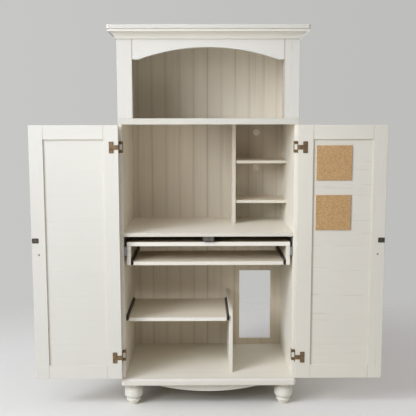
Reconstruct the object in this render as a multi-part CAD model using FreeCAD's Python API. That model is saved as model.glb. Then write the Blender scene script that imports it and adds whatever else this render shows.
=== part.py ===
"""Computer armoire: an open arched hutch with a crown, a two-door desk bay with a
pull-out keyboard unit and a slide-out printer shelf, on a moulded base with bun feet.

Frame: +X to the right, +Y to the back, +Z up, floor at Z = 0, millimetres.
Depths are given from the front plane of the case and moved by SHIFT_Y, so that the
origin is at the bottom centre of the whole piece. The doors are modelled wide open.
"""
import FreeCAD, Part
import math
import os

V = FreeCAD.Vector

# ---------------------------------------------------------------- driving dimensions
CASE_HALF = 430.0          # half width over the side panels
SIDE_T = 19.0              # side panel thickness
PANEL_T = 18.0             # shelves and fixed panels
DEPTH = 537.0              # case front plane to the face of the back panels
BACK_T = 5.0               # back panel thickness
CROWN_OVER = 42.0          # crown overhang, front and sides
SHIFT_Y = -(DEPTH + BACK_T - CROWN_OVER) / 2.0

Z_BASE0 = 112.0            # underside of the base moulding
Z_FLOOR = 148.0            # top of the bottom panel and of the base moulding
Z_LPANEL = 130.0           # underside of the bottom panel
Z_DESK = 875.0             # desk top surface
DESK_T = 18.0
Z_HUTCH = 1397.0           # underside of the hutch floor
Z_HRAIL = 1426.0           # top of the hutch bottom rail
Z_FRAME = 1797.5           # top of the face frame and the sides
Z_CROWN_BOARD = 1837.6     # underside of the crown top board
CROWN_LAP = 2.6            # the crown laps down over the frame and the sides
Z_TOP = 1857.0             # top of the piece

STILE_IN = 358.0           # inner edge of the hutch stiles
FRAME_T = 18.0             # face frame thickness
RETURN_T = 16.0            # return strip behind the inner edge of a stile
RETURN_Y = 92.0
ARCH_APEX = 1756.5
ARCH_R = 977.0
ARCH_SHOULDER = 1700.0

BASE_OUT = 20.0            # base moulding stands this far out
BASE_HALF = 433.0
APRON_LOW = 75.0
APRON_R = 1060.0
APRON_T = 16.0
APRON_Y = 7.0

FOOT_X = 377.5
FOOT_Y = (50.0, 487.0)

DOOR_X0 = 425.2            # hinge edge of an open door
DOOR_X1 = 846.9            # free edge of an open door
DOOR_Z0 = 158.5
DOOR_Z1 = 1395.5
DOOR_T = 19.0
DOOR_DY = -38.3            # inner face of an open door, in front of the case
DOOR_STILE = 70.5          # hinge stile
LOCK_STILE = 67.1
DOOR_RAIL = 68.0
PANEL_Y0 = 8.0             # door panel recess behind the inner face
PANEL_Y1 = 14.0
GROOVE = 8.0               # depth of the panel grooves
TONGUE = 7.0
BOARD_Z0 = 327.4           # lowest board line on the door panels
BOARD_PITCH = 122.3
BOARD_LINES = 8

HINGE_Z = (264.5, 1290.6)
AXIS_X = 424.1
AXIS_Y = -20.0
LEAF_X = (446.5, 469.0)    # plate of the door leaf
LEAF_T = 1.5
KNUCKLE_R = 3.0
PIN_R = 1.5
RUN = 0.05                 # running clearance of pins in knuckles
HINGE_HALF = 27.5

BEAD_PITCH = 76.0          # spacing of the grooves on the back panels
BEAD_OFF = 1.0             # the grooves stand this far left of the middle

VENT = (178.5, 353.5, 180.5, 573.0)
PORT_X = 268.0
PORT_Z = (1153.0, 1346.0)
PORT_R = 13.4

DIVIDER_X = (126.0, 145.0)
DIVIDER_Y = 301.0
CUBBY_Y = 308.0
CUBBY_Z = (983.0, 1191.0)
CUBBY_T = 15.0
PIN_SHELF_R = 2.5

PARTITION_X = (104.0, 122.0)
PARTITION_Y = 70.0
PARTITION_TOP = 469.0
PARTITION_R = 40.0

PULL_Y = (15.0, 415.0)
PULL_HALF = 398.0
PULL_T = 19.0
PULL_Z = (714.0, 829.6)
PULL_TOP = 21.3
TRAY_HALF = 366.0
TRAY_Y = (15.0, 301.0)
TRAY_Z = (714.0, 732.0)
PRINT_X = (-398.0, 91.0)
PRINT_Y = (62.0, 437.0)
PRINT_Z = (419.0, 437.0)
SLIDE_W = 13.0             # side clearance filled by a drawer slide

CATCH_HALF = 27.0
CATCH_Y = (0.6, 24.0)
CATCH_Z = (834.0, 857.0)
STRIKE = (813.0, 844.7, 833.9, 857.6)
KNOB_X = 813.0
KNOB_Z = 777.5

CORK_X = (512.5, 679.5)
CORK_Z = ((894.5, 1062.3), (1133.6, 1298.5))
CORK_T = 5.5

os.makedirs("parts", exist_ok=True)
nodes = {}


# ---------------------------------------------------------------- helpers
def bx(x0, x1, y0, y1, z0, z1):
    return Part.makeBox(x1 - x0, y1 - y0, z1 - z0, V(x0, y0 + SHIFT_Y, z0))


def cyl(r, p, d, h):
    return Part.makeCylinder(r, h, V(p[0], p[1] + SHIFT_Y, p[2]), V(*d))


def cone(r1, r2, p, d, h):
    return Part.makeCone(r1, r2, h, V(p[0], p[1] + SHIFT_Y, p[2]), V(*d))


def poly(points):
    return Part.Face(Part.makePolygon([V(*p) for p in points + points[:1]]))


def prism_x(yz, x0, x1):
    """Polygon in depth and height, extruded across."""
    f = poly([(x0, y + SHIFT_Y, z) for y, z in yz])
    return f.extrude(V(x1 - x0, 0, 0))


def prism_y(xz, y0, y1):
    f = poly([(x, y0 + SHIFT_Y, z) for x, z in xz])
    return f.extrude(V(0, y1 - y0, 0))


def prism_z(xy, z0, z1):
    f = poly([(x, y + SHIFT_Y, z0) for x, y in xy])
    return f.extrude(V(0, 0, z1 - z0))


def mirror(s):
    return s.mirror(V(0, 0, 0), V(1, 0, 0))


def ease(s, r, picks):
    """Round the edges that lie in one of the planes (axis, value)."""
    chosen = []
    for e in s.Edges:
        for axis, value in picks:
            if axis == "y":
                value = value + SHIFT_Y
            k = "xyz".index(axis)
            if all(abs(v.Point[k] - value) < 1e-6 for v in e.Vertexes):
                chosen.append(e)
                break
    return s.makeFillet(r, chosen)


def ease_line(s, r, picks):
    """Round the edges that lie in all planes of one pick, such as a front top edge."""
    chosen = []
    for e in s.Edges:
        for planes in picks:
            ok = True
            for axis, value in planes:
                if axis == "y":
                    value = value + SHIFT_Y
                k = "xyz".index(axis)
                if not all(abs(v.Point[k] - value) < 1e-6 for v in e.Vertexes):
                    ok = False
            if ok:
                chosen.append(e)
                break
    return s.makeFillet(r, chosen)


def both(s):
    return [s, mirror(s)]


def put(name, *solids):
    flat = []
    for s in solids:
        for t in s if isinstance(s, (list, tuple)) else [s]:
            flat += t.Solids
    for t in flat:
        if not t.isValid() or t.Volume <= 0:
            raise ValueError("bad solid in " + name)
    nodes[name] = flat


# ---------------------------------------------------------------- carcass
def side_panel():
    s = prism_x([(0, Z_BASE0), (DEPTH, Z_BASE0), (DEPTH, Z_FRAME), (FRAME_T, Z_FRAME),
                 (FRAME_T, Z_HUTCH), (0, Z_HUTCH)], CASE_HALF - SIDE_T, CASE_HALF)
    return ease_line(s, 1.2, [[("x", CASE_HALF - SIDE_T), ("y", 0)], [("x", CASE_HALF), ("y", 0)],
                              [("x", CASE_HALF), ("y", DEPTH)]])


HINGE_SCREW_R = 1.6


def case_hinge_screws(x_sign_right=True):
    """Pilot positions of the screws that hold a case leaf, right side."""
    out = []
    for z in HINGE_Z:
        for dz in (-18.0, 18.0):
            out.append((CASE_HALF - SIDE_T, 21.0, z + dz))
    return out


def csk_screw(p, d, length, head_r=3.0, head_h=LEAF_T):
    """Countersunk wood screw: p is the centre of the flush head, d points into the wood."""
    head = cone(head_r, HINGE_SCREW_R, p, d, head_h)
    shank = cyl(HINGE_SCREW_R, p, d, length - 3.0)
    q = [p[k] + d[k] * (length - 3.0) for k in range(3)]
    tip = cone(HINGE_SCREW_R, 0.3, q, d, 3.0)
    s = head.fuse(shank).fuse(tip).removeSplitter()
    slot = bx(p[0] - 0.4, p[0] + 0.4, p[1] - 0.4, p[1] + 0.4, p[2] - head_r * 0.8, p[2] + head_r * 0.8)
    return s.cut(slot)


def csk_hole(p, d, length):
    """Clearance for such a screw, in leaf and wood."""
    g = 0.06
    back = [p[k] - d[k] * 0.5 for k in range(3)]
    head = cone(3.0 + g + 0.5 * 0.93, HINGE_SCREW_R + g, back, d, LEAF_T + 0.5)
    shank = cyl(HINGE_SCREW_R + g, p, d, length + 0.3)
    return head.fuse(shank)


right_side = side_panel()
pin_holes = []
shelf_pins = []
for zc in CUBBY_Z:
    for y in (338.0, 508.0):
        for x0, sgn in ((DIVIDER_X[1], 1.0), (CASE_HALF - SIDE_T, -1.0)):
            z = zc - PIN_SHELF_R
            pin = cyl(PIN_SHELF_R, (x0 - sgn * 8.0, y, z), (sgn, 0, 0), 16.0)
            shelf_pins.append(pin)
            pin_holes.append(cyl(PIN_SHELF_R + 0.05, (x0 - sgn * 8.2, y, z), (sgn, 0, 0), 8.2))

left_side = mirror(right_side)
for p in case_hinge_screws():
    q = (p[0] - LEAF_T, p[1], p[2])
    hole = csk_hole(q, (1, 0, 0), 14.0)
    right_side = right_side.cut(hole)
    left_side = left_side.cut(mirror(hole))
for h in pin_holes:
    right_side = right_side.cut(h)
put("left_side_panel", left_side)
put("right_side_panel", right_side)

IN = CASE_HALF - SIDE_T
BOLT_R = 4.0
bottom = bx(-IN, IN, 0, DEPTH, Z_LPANEL, Z_FLOOR)
desk = ease(bx(-IN, IN, 0, DEPTH, Z_DESK - DESK_T, Z_DESK), 1.5, [("y", 0)])
hutch_floor = bx(-IN, IN, FRAME_T, DEPTH, Z_HUTCH, Z_HUTCH + PANEL_T)
# the hutch top lies inside the ring of the crown
hutch_top = bx(-CASE_HALF + 18.0, CASE_HALF - 18.0, FRAME_T, DEPTH, Z_FRAME + 10.5, Z_FRAME + 10.5 + PANEL_T)

# ---------------------------------------------------------------- back panels with bead lines
def beads(s, z0, z1):
    k = -5
    while k <= 5:
        x = k * BEAD_PITCH - BEAD_OFF
        s = s.cut(prism_z([(x - 1.2, DEPTH - 0.1), (x + 1.2, DEPTH - 0.1), (x, DEPTH + 0.8)], z0 - 1, z1 + 1))
        # the fine line beside each groove that makes the bead
        s = s.cut(prism_z([(x + 6.4, DEPTH - 0.05), (x + 7.4, DEPTH - 0.05), (x + 6.9, DEPTH + 0.4)], z0 - 1, z1 + 1))
        k += 1
    return s


BACK_HALF = 427.0
hutch_back = beads(bx(-BACK_HALF, BACK_HALF, DEPTH, DEPTH + BACK_T, Z_HUTCH + 9.0, Z_CROWN_BOARD - 0.5), Z_HUTCH, Z_CROWN_BOARD)
middle_back = beads(bx(-BACK_HALF, BACK_HALF, DEPTH, DEPTH + BACK_T, Z_DESK - 9.0, Z_HUTCH + 8.5), Z_DESK - 9, Z_HUTCH + 9)
lower_back = beads(bx(-BACK_HALF, BACK_HALF, DEPTH, DEPTH + BACK_T, Z_BASE0 + 2.0, Z_DESK - 9.5), Z_BASE0, Z_DESK - 9)
lower_back = lower_back.cut(bx(VENT[0], VENT[1], DEPTH - 5, DEPTH + BACK_T + 5, VENT[2], VENT[3]))

# cable ports: holes in the back panel, each closed by a flanged push-in cap
ports = []
for z in PORT_Z:
    middle_back = middle_back.cut(cyl(15.05, (PORT_X, DEPTH - 5, z), (0, 1, 0), BACK_T + 10))
    cap = cyl(18.0, (PORT_X, DEPTH - 1.8, z), (0, 1, 0), 1.8)
    cap = ease(cap, 0.9, [("y", DEPTH - 1.8)])
    cap = cap.fuse(cyl(15.0, (PORT_X, DEPTH - 0.5, z), (0, 1, 0), BACK_T + 0.5)).removeSplitter()
    cap = cap.cut(cyl(PORT_R, (PORT_X, DEPTH, z), (0, 1, 0), BACK_T + 10))
    # finger notch in the rim
    cap = cap.cut(cyl(12.0, (PORT_X, DEPTH - 3, z), (0, 1, 0), 1.8).cut(cyl(10.8, (PORT_X, DEPTH - 3, z), (0, 1, 0), 1.8)))
    ports.append(cap)

put("hutch_back_panel", hutch_back)
put("middle_back_panel", middle_back)
put("lower_back_panel", lower_back)
put("cable_port_caps", ports)
put("hutch_floor", hutch_floor)
put("hutch_top_panel", hutch_top)

# ---------------------------------------------------------------- hutch face frame
stile = ease(bx(STILE_IN, CASE_HALF, 0, FRAME_T, Z_HRAIL, Z_FRAME), 1.2, [("y", 0)])
# a return behind the inner edge makes the opening look as deep as it does
stile = stile.fuse(bx(STILE_IN, STILE_IN + RETURN_T, FRAME_T - 1.0, RETURN_Y, Z_HRAIL, Z_FRAME)).removeSplitter()
put("hutch_stiles", both(stile))
rail = ease(bx(-CASE_HALF, CASE_HALF, 0, FRAME_T, Z_HUTCH, Z_HRAIL), 1.5, [("y", 0)])
put("hutch_bottom_rail", rail)

half = math.sqrt(ARCH_R ** 2 - (ARCH_R - (ARCH_APEX - ARCH_SHOULDER)) ** 2)


def arched_rail():
    y = SHIFT_Y
    p = [V(-STILE_IN, y, ARCH_SHOULDER), V(-half, y, ARCH_SHOULDER), V(0, y, ARCH_APEX),
         V(half, y, ARCH_SHOULDER), V(STILE_IN, y, ARCH_SHOULDER), V(STILE_IN, y, Z_FRAME), V(-STILE_IN, y, Z_FRAME)]
    edges = [Part.LineSegment(p[0], p[1]).toShape(), Part.Arc(p[1], p[2], p[3]).toShape(),
             Part.LineSegment(p[3], p[4]).toShape(), Part.LineSegment(p[4], p[5]).toShape(),
             Part.LineSegment(p[5], p[6]).toShape(), Part.LineSegment(p[6], p[0]).toShape()]
    s = Part.Face(Part.Wire(edges)).extrude(V(0, FRAME_T, 0))
    return ease(s, 1.2, [("y", 0)])


put("arched_rail", arched_rail())

# ---------------------------------------------------------------- crown
def crown_face(to3d):
    """Profile of the crown moulding; u is the overhang outwards, w the height."""
    def P(u, w):
        return to3d(u, w)
    c = []
    def line(a, b):
        c.append(Part.LineSegment(P(*a), P(*b)).toShape())
    def arc(a, m, b):
        c.append(Part.Arc(P(*a), P(*m), P(*b)).toShape())
    z0, z1 = Z_FRAME, Z_CROWN_BOARD
    zb = z0 - CROWN_LAP
    line((-18.0, z0), (0.0, z0))
    line((0.0, z0), (0.0, zb))
    line((0.0, zb), (6.3, zb))
    arc((6.3, zb), (7.149, zb + 0.351), (7.5, zb + 1.2))
    line((7.5, zb + 1.2), (7.5, zb + 4.0))
    # shallow hollow out to the bead
    ax, az, bx_, bz = 7.5, zb + 4.0, 34.0, z1 - 12.6
    lx, lz = bx_ - ax, bz - az
    n = math.hypot(lx, lz)
    sag = 4.8
    arc((ax, az), ((ax + bx_) / 2 - lz / n * sag, (az + bz) / 2 + lx / n * sag), (bx_, bz))
    # flat bead with eased corners
    line((34.0, bz), (36.5, bz + 0.3))
    arc((36.5, bz + 0.3), (37.561, bz + 0.739), (38.0, bz + 1.8))
    line((38.0, bz + 1.8), (38.0, z1 - 3.6))
    arc((38.0, z1 - 3.6), (37.649, z1 - 2.751), (36.8, z1 - 2.4))
    line((36.8, z1 - 2.4), (35.5, z1 - 2.2))
    line((35.5, z1 - 2.2), (35.5, z1))
    line((35.5, z1), (-18.0, z1))
    line((-18.0, z1), (-18.0, z0))
    return Part.Face(Part.Wire(c))


BIG = 2000.0
C = CASE_HALF
front = crown_face(lambda u, w: V(-C - 60, -u + SHIFT_Y, w)).extrude(V(2 * C + 120, 0, 0))
# mitre planes run at 45 degrees through the two front corners of the case
front = front.cut(prism_z([(C, 0), (C + BIG, -BIG), (C + BIG, BIG), (C - BIG, BIG)], 0, BIG))
front = front.cut(prism_z([(-C, 0), (-C - BIG, -BIG), (-C - BIG, BIG), (-C + BIG, BIG)], 0, BIG))
rightc = crown_face(lambda u, w: V(C + u, -80 + SHIFT_Y, w)).extrude(V(0, 80 + DEPTH, 0))
rightc = rightc.cut(prism_z([(C, 0), (C + BIG, -BIG), (C - BIG, -BIG), (C - BIG, BIG)], 0, BIG))
put("crown_front", front)
put("crown_right", rightc)
put("crown_left", mirror(rightc))
O = CROWN_OVER
board = bx(-C - O, C + O, -O, DEPTH + BACK_T, Z_CROWN_BOARD, Z_TOP)
board = ease_line(board, 9.0, [[("x", C + O), ("y", -O)], [("x", -C - O), ("y", -O)]])
cap = []
for e in board.Edges:
    m = e.CenterOfMass
    if e.BoundBox.ZLength < 1e-6 and m.y < DEPTH + BACK_T + SHIFT_Y - 1.0:
        cap.append((e, 2.5 if m.z > Z_TOP - 1 else 1.5))
board = board.makeFillet(2.0, [e for e, r in cap])
put("crown_top_board", board)

# ---------------------------------------------------------------- monitor bay
divider = ease(bx(DIVIDER_X[0], DIVIDER_X[1], DIVIDER_Y, DEPTH, Z_DESK, Z_HUTCH), 1.5, [("y", DIVIDER_Y)])
for h in pin_holes:
    divider = divider.cut(h)
put("cubby_divider", divider)
shelves = [ease(bx(DIVIDER_X[1] + 0.5, IN - 0.5, CUBBY_Y, DEPTH - 1.0, z, z + CUBBY_T), 1.5, [("y", CUBBY_Y)]) for z in CUBBY_Z]
put("cubby_shelves", shelves)
put("shelf_pins", shelf_pins)

# ---------------------------------------------------------------- lower bay
part = bx(PARTITION_X[0], PARTITION_X[1], PARTITION_Y, DEPTH, Z_FLOOR, PARTITION_TOP)
part = ease_line(part, PARTITION_R, [[("y", PARTITION_Y), ("z", PARTITION_TOP)]])
rim = []
for e in part.Edges:
    b = e.BoundBox
    m = e.CenterOfMass
    on_side = b.XLength < 1e-6
    if on_side and (m.y < PARTITION_Y + PARTITION_R + SHIFT_Y or m.z > PARTITION_TOP - PARTITION_R) and m.y < DEPTH + SHIFT_Y - 1 and m.z > Z_FLOOR + 1:
        rim.append(e)
part = part.makeFillet(1.5, rim)
put("lower_partition", part)

# ---------------------------------------------------------------- base
base = bx(-BASE_HALF, BASE_HALF, -BASE_OUT, 0, Z_BASE0, Z_FLOOR)
base = ease_line(base, 17.0, [[("x", BASE_HALF), ("y", -BASE_OUT)], [("x", -BASE_HALF), ("y", -BASE_OUT)]])
rims = [[], []]
for e in base.Edges:
    m = e.CenterOfMass
    if e.BoundBox.ZLength < 1e-6 and m.y < SHIFT_Y - 0.5:
        rims[0 if m.z > (Z_BASE0 + Z_FLOOR) / 2 else 1].append(e)
low = [e.CenterOfMass for e in rims[1]]
base = base.makeFillet(13.0, rims[0])
base = base.makeFillet(8.0, [e for e in base.Edges if any(e.CenterOfMass.distanceToPoint(m) < 1e-4 for m in low)])
put("base_front_moulding", base)


def apron():
    y = APRON_Y + SHIFT_Y
    zc = APRON_LOW + APRON_R
    h = math.sqrt(APRON_R ** 2 - (zc - Z_BASE0) ** 2)
    p = [V(-IN, y, Z_BASE0), V(-h, y, Z_BASE0), V(0, y, APRON_LOW), V(h, y, Z_BASE0),
         V(IN, y, Z_BASE0), V(IN, y, Z_LPANEL), V(-IN, y, Z_LPANEL)]
    edges = [Part.LineSegment(p[0], p[1]).toShape(), Part.Arc(p[1], p[2], p[3]).toShape(),
             Part.LineSegment(p[3], p[4]).toShape(), Part.LineSegment(p[4], p[5]).toShape(),
             Part.LineSegment(p[5], p[6]).toShape(), Part.LineSegment(p[6], p[0]).toShape()]
    s = Part.Face(Part.Wire(edges)).extrude(V(0, APRON_T, 0))
    arcs = [e for e in s.Edges if e.Curve.TypeId == "Part::GeomCircle"]
    return s.makeFillet(1.5, arcs)


put("apron", apron())


def foot():
    def P(r, z):
        return V(r, 0, z)
    c = []
    def line(a, b):
        c.append(Part.LineSegment(P(*a), P(*b)).toShape())
    def arc(a, m, b):
        c.append(Part.Arc(P(*a), P(*m), P(*b)).toShape())
    line((0, 0), (19.5, 0))
    arc((19.5, 0), (21.3, 0.5), (22.4, 1.8))
    arc((22.4, 1.8), (26.6, 7.6), (28.6, 14.4))
    line((28.6, 14.4), (29.5, 15.8))
    # bead, quirk and barrel
    arc((29.5, 15.8), (36.8, 23.6), (31.5, 32.0))
    arc((31.5, 32.0), (30.9, 33.2), (32.2, 34.4))
    arc((32.2, 34.4), (42.8, 43.0), (46.0, 58.0))
    line((46.0, 58.0), (46.0, 68.0))
    arc((46.0, 68.0), (44.2, 81.5), (37.2, 92.5))
    arc((37.2, 92.5), (35.0, 97.5), (36.2, 102.5))
    line((36.2, 102.5), (37.0, 104.0))
    line((37.0, 104.0), (37.0, 111.0))
    # narrower spigot up to the bottom panel, clear of the sides and the apron
    line((37.0, 111.0), (26.0, 111.0))
    line((26.0, 111.0), (26.0, Z_LPANEL))
    line((26.0, Z_LPANEL), (0, Z_LPANEL))
    line((0, Z_LPANEL), (0, 0))
    f = Part.Face(Part.Wire(c))
    return f.revolve(V(0, 0, 0), V(0, 0, 1), 360)


one = foot().cut(Part.makeCylinder(BOLT_R + 0.05, 42.0, V(0, 0, Z_LPANEL - 40.0)))
feet, bolts = [], []
for x in (-FOOT_X, FOOT_X):
    for y in FOOT_Y:
        f = one.copy()
        f.translate(V(x, y + SHIFT_Y, 0))
        feet.append(f)
        b = cyl(BOLT_R, (x, y, Z_LPANEL - 39.5), (0, 0, 1), 39.5 + 14.0)
        b = b.makeChamfer(0.8, [e for e in b.Edges if e.BoundBox.ZLength < 1e-6])
        bolts.append(b)
        bottom = bottom.cut(cyl(BOLT_R + 0.05, (x, y, Z_LPANEL - 1), (0, 0, 1), 1 + 14.3))
put("bun_feet", feet)
put("foot_bolts", bolts)
put("bottom_panel", bottom)

# ---------------------------------------------------------------- hinges
def case_leaf(zc):
    """Wrap-round leaf on the right side: plate on the inner face, two prongs over the front
    edge, and two webs that carry the knuckles out to the front corner of the door."""
    s = bx(IN - LEAF_T, IN, -LEAF_T, 32.0, zc - HINGE_HALF, zc + HINGE_HALF)
    s = ease_line(s, 6.0, [[("y", 32.0), ("z", zc - HINGE_HALF)], [("y", 32.0), ("z", zc + HINGE_HALF)]])
    # the window leaves the edge of the side panel bare between the prongs
    s = s.cut(bx(IN - 5, IN + 5, -5, 6.0, zc - 13.0, zc + 13.0))
    for z0, z1 in ((zc - HINGE_HALF, zc - 13.0), (zc + 13.0, zc + HINGE_HALF)):
        s = s.fuse(bx(IN - LEAF_T, AXIS_X + LEAF_T / 2, -LEAF_T, 0, z0, z1))
        s = s.fuse(bx(AXIS_X - LEAF_T / 2, AXIS_X + LEAF_T / 2, AXIS_Y, 0, z0, z1))
        s = s.fuse(cyl(KNUCKLE_R, (AXIS_X, AXIS_Y, z0), (0, 0, 1), z1 - z0))
    s = s.removeSplitter()
    return s.cut(cyl(PIN_R + RUN, (AXIS_X, AXIS_Y, zc - 40), (0, 0, 1), 80))


LOCAL_Y = AXIS_Y - DOOR_DY  # hinge axis, measured from the inner face of the door


def door_leaf(zc):
    """T-shaped leaf on the inner face of the right door, wrapped round its edge to the middle
    knuckle. Depths are from the inner face of the door."""
    s = bx(LEAF_X[0], LEAF_X[1], -LEAF_T, 0, zc - HINGE_HALF, zc + HINGE_HALF)
    corners = [[("x", x), ("z", z)] for x in LEAF_X for z in (zc - HINGE_HALF, zc + HINGE_HALF)]
    s = ease_line(s, 3.0, corners)
    s = s.fuse(bx(DOOR_X0 - LEAF_T, LEAF_X[0] + 1.0, -LEAF_T, 0, zc - 11.0, zc + 11.0))
    s = s.fuse(bx(DOOR_X0 - LEAF_T, DOOR_X0, -LEAF_T, LOCAL_Y, zc - 11.0, zc + 11.0))
    s = s.fuse(cyl(KNUCKLE_R, (AXIS_X, LOCAL_Y, zc - 12.7), (0, 0, 1), 25.4)).removeSplitter()
    return s.cut(cyl(PIN_R + RUN, (AXIS_X, LOCAL_Y, zc - 40), (0, 0, 1), 80))


case_leaves, door_leaves, pins = [], [], []
for zc in HINGE_Z:
    case_leaves.append(case_leaf(zc))
    door_leaves.append(door_leaf(zc))
    pin = cyl(PIN_R, (AXIS_X, AXIS_Y, zc - HINGE_HALF - 0.2), (0, 0, 1), 2 * HINGE_HALF + 0.4)
    for z, d in ((zc + HINGE_HALF + 0.2, 1), (zc - HINGE_HALF - 0.2, -1)):
        head = Part.makeSphere(2.6, V(AXIS_X, AXIS_Y + SHIFT_Y, z - d * 1.4))
        keep = cyl(4.0, (AXIS_X, AXIS_Y, z), (0, 0, d), 4.0)
        pin = pin.fuse(head.common(keep))
    pins.append(pin.removeSplitter())
screws = []
for p in case_hinge_screws():
    q = (p[0] - LEAF_T, p[1], p[2])
    hole = csk_hole(q, (1, 0, 0), 14.0)
    case_leaves = [s.cut(hole) for s in case_leaves]
    screws.append(csk_screw(q, (1, 0, 0), 14.0))
put("hinge_case_leaves", case_leaves, [mirror(s) for s in case_leaves])
put("hinge_pins", pins, [mirror(s) for s in pins])

# ---------------------------------------------------------------- magnetic catch under the desk edge
catch = bx(-CATCH_HALF, CATCH_HALF, CATCH_Y[0], CATCH_Y[1], CATCH_Z[0], CATCH_Z[1])
magnets = []
for x in (-14.0, 14.0):
    catch = catch.cut(bx(x - 10.0, x + 10.0, CATCH_Y[0] - 1, CATCH_Y[0] + 16.0, CATCH_Z[0] + 4.0, CATCH_Z[1] - 4.0))
    magnets.append(bx(x - 9.9, x + 9.9, CATCH_Y[0] - 0.3, CATCH_Y[0] + 15.8, CATCH_Z[0] + 4.1, CATCH_Z[1] - 4.1))
catch = ease_line(catch, 1.0, [[("x", -CATCH_HALF), ("y", CATCH_Y[0])], [("x", CATCH_HALF), ("y", CATCH_Y[0])]])
catch_screws = []
for x in (0.0,):
    p = (x, 20.5, CATCH_Z[0])
    head = cyl(2.8, p, (0, 0, 1), 2.0)
    shank = cyl(1.6, p, (0, 0, 1), CATCH_Z[1] - CATCH_Z[0] + 12.0)
    catch_screws.append(head.fuse(shank).removeSplitter())
    hole = cyl(2.9, (x, 20.5, CATCH_Z[0] - 1), (0, 0, 1), 3.05).fuse(cyl(1.66, p, (0, 0, 1), CATCH_Z[1] - CATCH_Z[0] + 12.3))
    catch = catch.cut(hole)
    desk = desk.cut(hole)
put("magnetic_catch", catch)
put("catch_magnets", magnets)
put("desk_shelf", desk)
put("case_screws", screws, [mirror(s) for s in screws], catch_screws)


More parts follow.
